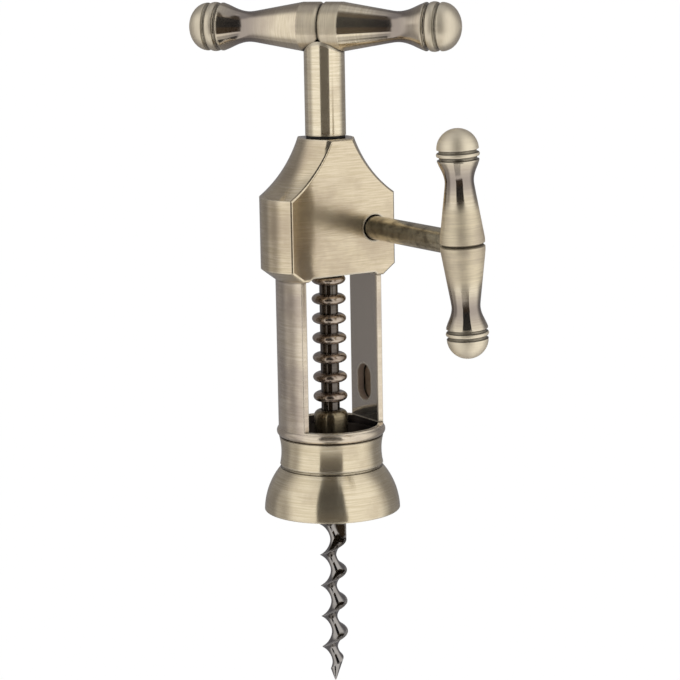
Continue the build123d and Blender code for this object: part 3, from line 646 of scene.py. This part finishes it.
@dataclass
class Spindle(SubAssembly):
    """What turns and lifts together: bar, post, washer, socket and worm, round the ringed rack.

    The rack is a core with rings a pitch apart, each round along its edge and a little over half
    a pitch high at its root. Above the rings it is plain up to a shoulder and a thinner shank.
    """

    finishes: dict[str, Finish] = field(default_factory=lambda: {
        "t_handle": BAR_BRASS, "handle_stem": STEM_BRASS, "handle_stud": PLAIN_STEEL,
        "stem_washer": BlackFibre(), "worm_socket": SOCKET_BRASS, "socket_pin": PLAIN_STEEL,
        "worm": WORM_STEEL})
    rings: int = 13
    pitch_mm: float = 6.2832
    lowest_ring_mm: float = 36.6
    ring_radius_mm: float = 5.45
    ring_root_mm: float = 3.3
    core_radius_mm: float = 2.95
    shank_radius_mm: float = 2.9
    shoulder_mm: float = 119.96
    ring_points: int = 13
    sides: int = 64
    crease_deg: float = 35.0

    def rack_inputs(self, tree: bpy.types.NodeTree) -> dict[str, object]:
        """Give the rack's tree its named inputs and its output.

        Args:
            tree: The tree, which has no sockets yet.

        Returns:
            The value of each input by the socket's identifier.
        """
        low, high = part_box("rack_shaft")
        sizes = {"Pitch": self.pitch_mm * MM, "Lowest Ring": self.lowest_ring_mm * MM,
                 "Ring Reach": (self.ring_radius_mm - self.core_radius_mm) * MM,
                 "Half Root": self.ring_root_mm * MM / 2, "Core Radius": self.core_radius_mm * MM,
                 "Shank Radius": self.shank_radius_mm * MM, "Foot": low[2],
                 "Shoulder": self.shoulder_mm * MM, "Top": high[2]}
        counts = {"Rings": self.rings, "Points a Ring": self.ring_points, "Sides": self.sides}
        finishes = {"Ring Finish": RING_BRONZE.material(), "Core Finish": CORE_BRONZE.material()}
        values = {}
        for kind, group in (("NodeSocketFloat", sizes), ("NodeSocketInt", counts),
                            ("NodeSocketMaterial", finishes)):
            for name, value in group.items():
                socket = tree.interface.new_socket(name, in_out="INPUT", socket_type=kind)
                values[socket.identifier] = value
        tree.interface.new_socket("Rack", in_out="OUTPUT", socket_type="NodeSocketGeometry")
        return values

    def rack_line(self, tree: bpy.types.NodeTree, given: dict[str, bpy.types.NodeSocket],
                  ) -> tuple[bpy.types.NodeSocket, bpy.types.NodeSocket]:
        """Draw a line up the rack's axis, with the outline's radius at each of its points.

        Args:
            tree: The tree that takes the nodes.
            given: The tree's inputs by name.

        Returns:
            The line's mesh, and the radius as a field on its points.
        """
        # The first point is the foot, the last two are the shoulder and the shank's top
        ends = ((0.0, given["Foot"], given["Core Radius"]),
                (1.0, given["Shoulder"], given["Core Radius"]),
                (2.0, given["Top"], given["Shank Radius"]))
        rows = add(tree, "ShaderNodeMath", {"operation": "MULTIPLY"}, i0=given["Rings"],
                   i1=given["Points a Ring"]).outputs[0]
        points = add(tree, "ShaderNodeMath", {"operation": "ADD"}, i0=rows,
                     i1=float(len(ends))).outputs[0]
        line = add(tree, "GeometryNodeMeshLine", Count=points).outputs[0]
        index = add(tree, "GeometryNodeInputIndex").outputs[0]
        step = add(tree, "ShaderNodeMath", {"operation": "SUBTRACT"}, i0=index, i1=1.0).outputs[0]
        share = add(tree, "ShaderNodeMath", {"operation": "DIVIDE"}, i0=step,
                    i1=given["Points a Ring"]).outputs[0]
        ring = add(tree, "ShaderNodeMath", {"operation": "FLOOR"}, i0=share).outputs[0]
        at = add(tree, "ShaderNodeMath", {"operation": "MODULO"}, i0=step,
                 i1=given["Points a Ring"]).outputs[0]
        last = add(tree, "ShaderNodeMath", {"operation": "SUBTRACT"}, i0=given["Points a Ring"],
                   i1=1.0).outputs[0]
        part = add(tree, "ShaderNodeMath", {"operation": "DIVIDE"}, i0=at, i1=last).outputs[0]
        angle = add(tree, "ShaderNodeMapRange", i0=part, i1=0.0, i2=1.0, i3=-math.pi / 2,
                    i4=math.pi / 2).outputs[0]
        sine = add(tree, "ShaderNodeMath", {"operation": "SINE"}, i0=angle).outputs[0]
        cosine = add(tree, "ShaderNodeMath", {"operation": "COSINE"}, i0=angle).outputs[0]
        middle = add(tree, "ShaderNodeMath", {"operation": "MULTIPLY_ADD"}, i0=ring,
                     i1=given["Pitch"], i2=given["Lowest Ring"]).outputs[0]
        height = add(tree, "ShaderNodeMath", {"operation": "MULTIPLY_ADD"}, i0=sine,
                     i1=given["Half Root"], i2=middle).outputs[0]
        radius = add(tree, "ShaderNodeMath", {"operation": "MULTIPLY_ADD"}, i0=cosine,
                     i1=given["Ring Reach"], i2=given["Core Radius"]).outputs[0]
        for number, end_height, end_radius in ends:
            place = 0.0
            if number:
                place = add(tree, "ShaderNodeMath", {"operation": "ADD"}, i0=rows,
                            i1=number).outputs[0]
            here = add(tree, "FunctionNodeCompare", {"data_type": "FLOAT", "operation": "EQUAL"},
                       i0=index, i1=place).outputs[0]
            height = add(tree, "GeometryNodeSwitch", {"input_type": "FLOAT"}, i0=here, i1=height,
                         i2=end_height).outputs[0]
            radius = add(tree, "GeometryNodeSwitch", {"input_type": "FLOAT"}, i0=here, i1=radius,
                         i2=end_radius).outputs[0]
        spot = add(tree, "ShaderNodeCombineXYZ", i0=0.0, i1=0.0, i2=height).outputs[0]
        placed = add(tree, "GeometryNodeSetPosition", Geometry=line, Position=spot).outputs[0]
        return placed, radius

    def rack_tree(self) -> tuple[bpy.types.NodeTree, dict[str, object]]:
        """Build the tree that turns the rack's outline round its axis, ring after ring.

        Returns:
            The tree, and the value of each of its inputs by the socket's identifier.
        """
        tree = bpy.data.node_groups.new("ringed_rack", "GeometryNodeTree")
        values = self.rack_inputs(tree)
        given = dict(add(tree, "NodeGroupInput").outputs.items())
        line, radius = self.rack_line(tree, given)
        curve = add(tree, "GeometryNodeMeshToCurve", Mesh=line).outputs[0]
        outline = add(tree, "GeometryNodeCurvePrimitiveCircle", Resolution=given["Sides"],
                      Radius=1.0).outputs[0]
        solid = add(tree, "GeometryNodeCurveToMesh", Curve=curve, Profile_Curve=outline,
                    Scale=radius, Fill_Caps=True).outputs[0]
        smooth = add(tree, "GeometryNodeSetShadeSmooth", {"domain": "FACE"}, Geometry=solid,
                     Shade_Smooth=True).outputs[0]
        bend = add(tree, "GeometryNodeInputMeshEdgeAngle").outputs[0]
        sharp = add(tree, "FunctionNodeCompare", {"data_type": "FLOAT"}, i0=bend,
                    i1=math.radians(self.crease_deg)).outputs[0]
        creased = add(tree, "GeometryNodeSetShadeSmooth", {"domain": "EDGE"}, Geometry=smooth,
                      Selection=sharp, Shade_Smooth=False).outputs[0]
        whole = add(tree, "GeometryNodeRealizeInstances", Geometry=creased).outputs[0]
        place = add(tree, "GeometryNodeInputPosition").outputs[0]
        flat = add(tree, "ShaderNodeVectorMath", {"operation": "MULTIPLY"}, i0=place,
                   i1=LEVEL).outputs[0]
        out = add(tree, "ShaderNodeVectorMath", {"operation": "LENGTH"}, i0=flat).outputs[1]
        on_ring = add(tree, "FunctionNodeCompare", {"data_type": "FLOAT"}, i0=out,
                      i1=given["Core Radius"]).outputs[0]
        # The core between the rings takes the finish painted nearly black as shade
        cored = add(tree, "GeometryNodeSetMaterial", Geometry=whole,
                    Material=given["Core Finish"]).outputs[0]
        ringed = add(tree, "GeometryNodeSetMaterial", Geometry=cored, Selection=on_ring,
                     Material=given["Ring Finish"]).outputs[0]
        add(tree, "NodeGroupOutput", i0=ringed)
        return tree, values

    def rack(self) -> bpy.types.Object:
        """Build the ringed rack as a plain mesh in place of its CAD node.

        Returns:
            The rack's object, which rides with the spindle.
        """
        rack = bpy.data.objects.new("rack_of_rings", bpy.data.meshes.new("rack_of_rings"))
        bpy.context.scene.collection.objects.link(rack)
        tree, values = self.rack_tree()
        modifier = rack.modifiers.new("rings", "NODES")
        modifier.node_group = tree
        for identifier, value in values.items():
            modifier[identifier] = value
        finished = rack.evaluated_get(bpy.context.evaluated_depsgraph_get())
        mesh = bpy.data.meshes.new_from_object(finished)
        rack.modifiers.clear()
        rack.data = mesh
        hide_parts("rack_shaft")
        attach(rack, "spindle")
        LOG.info("built rack_of_rings with %d faces", len(mesh.polygons))
        return rack

    def build(self) -> None:
        """Dress the CAD nodes and build the rack."""
        self.dress()
        self.rack()


@dataclass(frozen=True)
class Board:
    """A stretch of the light tent that is darker than its white cloth.

    Its sides are bearings to the right of the camera and its ends are heights above the horizon,
    all in degrees, as are the soft edges.
    """

    tone: tuple[float, float, float]
    west: float
    east: float
    low: float
    high: float
    soft_sides: float
    soft_ends: float

    def cover(self, bearing: float, rise: float) -> float:
        """Say how far the board hides the cloth in one direction.

        Args:
            bearing: Degrees to the right of the camera, seen from the object.
            rise: Degrees above the horizon.

        Returns:
            Nought for cloth, one for board, and between them along a soft edge.
        """
        half, middle = (self.east - self.west) / 2, (self.east + self.west) / 2
        off = abs((bearing - middle + 180) % 360 - 180)
        across = (half - off) / self.soft_sides + 0.5
        up = min((rise - self.low) / self.soft_ends, (self.high - rise) / self.soft_ends) + 0.5
        share = 1.0
        for value in (across, up):
            value = min(max(value, 0.0), 1.0)
            share *= value * value * (3 - 2 * value)
        return share


@dataclass
class Studio:
    """Camera, pale floor, white room, and the light tent that the metal mirrors.

    The tent is white cloth with a black gap for the camera and grey behind the object. Only
    mirrored rays see it, so it puts no light on the floor and throws no shadow.
    """

    azimuth: float = 32.0
    pitch: float = 10.39
    roll: float = 1.02
    distance: float = 0.77105
    aim_right: float = 0.00335
    aim_height: float = 0.05458
    lens: float = 128.49
    sensor: float = 36.0
    nearest: float = 0.01
    farthest: float = 100.0
    floor_z: float = -0.30
    floor_reach: float = 30.0
    floor_colour: str = "#F4F4F4"
    floor_glow: float = 1.02
    floor_glow_share: float = 0.85
    tent_radius: float = 1.6
    tent_lift: float = 0.01
    tent_step: float = 1.5
    cloth: tuple[float, float, float] = (1.0, 1.0, 1.0)
    # The left side, the top, the back, the foot of the left side, and five round the camera
    boards: tuple[Board, ...] = (
        Board((0.93, 0.93, 0.93), -110, -20, -90, 90, 20, 10),
        Board((0.46, 0.47, 0.50), -180, 180, 58, 90, 1, 20),
        Board((0.22, 0.217, 0.23), 100, 260, -90, 62, 40, 16),
        Board((0.38, 0.37, 0.37), -106, -78, -90, 14, 24, 14),
        Board((0.50, 0.50, 0.51), -24, 20, -56, -38, 6, 8),
        Board((0.05, 0.034, 0.02), -26, 26, -27, 6, 2, 4),
        Board((0.07, 0.055, 0.04), -30, 17, 48, 80, 3, 10),
        Board((0.015, 0.015, 0.017), -28, 23, 2, 52, 1.5, 5),
        Board((0.02, 0.02, 0.022), -24, 20, -90, -56, 6, 5),
    )

    def camera(self) -> None:
        """Place the camera where the photograph was taken from."""
        turn, tilt, roll = (math.radians(v) for v in (self.azimuth, self.pitch, self.roll))
        back = Vector((-math.sin(turn) * math.cos(tilt), -math.cos(turn) * math.cos(tilt),
                       math.sin(tilt)))
        right = Vector((math.cos(turn), -math.sin(turn), 0))
        up = back.cross(right)
        aim = Vector((0, 0, self.aim_height)) + right * self.aim_right
        rolled_right = right * math.cos(roll) - up * math.sin(roll)
        rolled_up = right * math.sin(roll) + up * math.cos(roll)
        data = bpy.data.cameras.new("photo_camera")
        data.sensor_width = self.sensor
        data.lens = self.lens
        data.clip_start, data.clip_end = self.nearest, self.farthest
        camera = bpy.data.objects.new("photo_camera", data)
        axes = Matrix((rolled_right, rolled_up, back)).transposed()
        camera.matrix_world = Matrix.Translation(aim + back * self.distance) @ axes.to_4x4()
        bpy.context.scene.collection.objects.link(camera)
        bpy.context.scene.camera = camera

    def tone(self, bearing: float, rise: float) -> tuple[float, float, float]:
        """Return the tent's tone in one direction.

        Args:
            bearing: Degrees to the right of the camera, seen from the object.
            rise: Degrees above the horizon.

        Returns:
            Red, green and blue from nought to one.
        """
        tone = Vector(self.cloth)
        for board in self.boards:
            tone = tone.lerp(Vector(board.tone), board.cover(bearing, rise))
        return tuple(tone)

    def tent(self) -> None:
        """Hang the light tent: a dome over the object that lies flat just above the floor."""
        rows, columns = round(180 / self.tent_step), round(360 / self.tent_step)
        drop = self.aim_height - self.floor_z - self.tent_lift
        points, faces, tones = [], [], []
        for row in range(rows + 1):
            rise = math.radians(row * self.tent_step - 90)
            reach = self.tent_radius
            if rise < 0:
                reach = min(reach, drop / math.sin(-rise))
            for column in range(columns):
                bearing = column * self.tent_step - 180
                turn = math.radians(bearing - self.azimuth)
                points.append((reach * math.sin(turn) * math.cos(rise),
                               -reach * math.cos(turn) * math.cos(rise),
                               reach * math.sin(rise) + self.aim_height))
                tones.append(self.tone(bearing, math.degrees(rise)))
        for row in range(rows):
            for column in range(columns):
                after = (column + 1) % columns
                faces.append((row * columns + column, row * columns + after,
                              (row + 1) * columns + after, (row + 1) * columns + column))
        mesh = bpy.data.meshes.new("light_tent")
        mesh.from_pydata(points, [], faces)
        painted = mesh.color_attributes.new("tone", "FLOAT_COLOR", "POINT")
        painted.data.foreach_set("color", [value for tone in tones for value in (*tone, 1.0)])
        made = bare_material("tent_cloth")
        made.cycles.emission_sampling = "NONE"
        tree = made.node_tree
        tone = add(tree, "ShaderNodeVertexColor", {"layer_name": "tone"}).outputs[0]
        glow = add(tree, "ShaderNodeEmission", Color=tone, Strength=1.0).outputs[0]
        add(tree, "ShaderNodeOutputMaterial", Surface=glow)
        mesh.materials.append(made)
        tent = bpy.data.objects.new("light_tent", mesh)
        tent.visible_camera = False
        tent.visible_diffuse = False
        tent.visible_shadow = False
        bpy.context.scene.collection.objects.link(tent)

    def floor(self) -> None:
        """Lay a plain matt floor that keeps shadows, and that mirrored rays too see as white."""
        reach = self.floor_reach
        mesh = bpy.data.meshes.new("floor")
        mesh.from_pydata([(-reach, -reach, self.floor_z), (reach, -reach, self.floor_z),
                          (reach, reach, self.floor_z), (-reach, reach, self.floor_z)], [],
                         [(0, 1, 2, 3)])
        made = bare_material("white_board_floor")
        tree = made.node_tree
        rays = add(tree, "ShaderNodeLightPath").outputs
        mirrored = add(tree, "ShaderNodeMath", {"operation": "MAXIMUM"},
                       i0=rays["Is Glossy Ray"], i1=rays["Is Transmission Ray"]).outputs[0]
        seen = add(tree, "ShaderNodeMath", {"operation": "MAXIMUM"}, i0=rays["Is Camera Ray"],
                   i1=mirrored).outputs[0]
        share = add(tree, "ShaderNodeMath", {"operation": "MULTIPLY"}, i0=seen,
                    i1=self.floor_glow_share).outputs[0]
        matt = add(tree, "ShaderNodeBsdfDiffuse", Color=linear(self.floor_colour)).outputs[0]
        glow = add(tree, "ShaderNodeEmission", Color=(1, 1, 1, 1),
                   Strength=self.floor_glow).outputs[0]
        mixed = add(tree, "ShaderNodeMixShader", i0=share, i1=matt, i2=glow).outputs[0]
        add(tree, "ShaderNodeOutputMaterial", Surface=mixed)
        mesh.materials.append(made)
        floor = bpy.data.objects.new("floor", mesh)
        bpy.context.scene.collection.objects.link(floor)

    def room(self) -> None:
        """Light the object from a plain white room."""
        world = bpy.data.worlds.new("white_room")
        bpy.context.scene.world = world
        world.use_nodes = True
        tree = world.node_tree
        tree.nodes.clear()
        sky = add(tree, "ShaderNodeBackground", Color=(1, 1, 1, 1), Strength=1.0).outputs[0]
        add(tree, "ShaderNodeOutputWorld", Surface=sky)

    def build(self) -> None:
        """Set up the whole studio."""
        bpy.context.scene.view_settings.view_transform = "Standard"
        self.camera()
        self.room()
        self.floor()
        self.tent()
        LOG.info("built the studio")


def main() -> None:
    """Build the studio, then each sub-assembly in order."""
    Studio().build()
    Casing().dress()
    Barrel().dress()
    SideDrive().dress()
    Spindle().build()


if __name__ == "__main__":
    main()
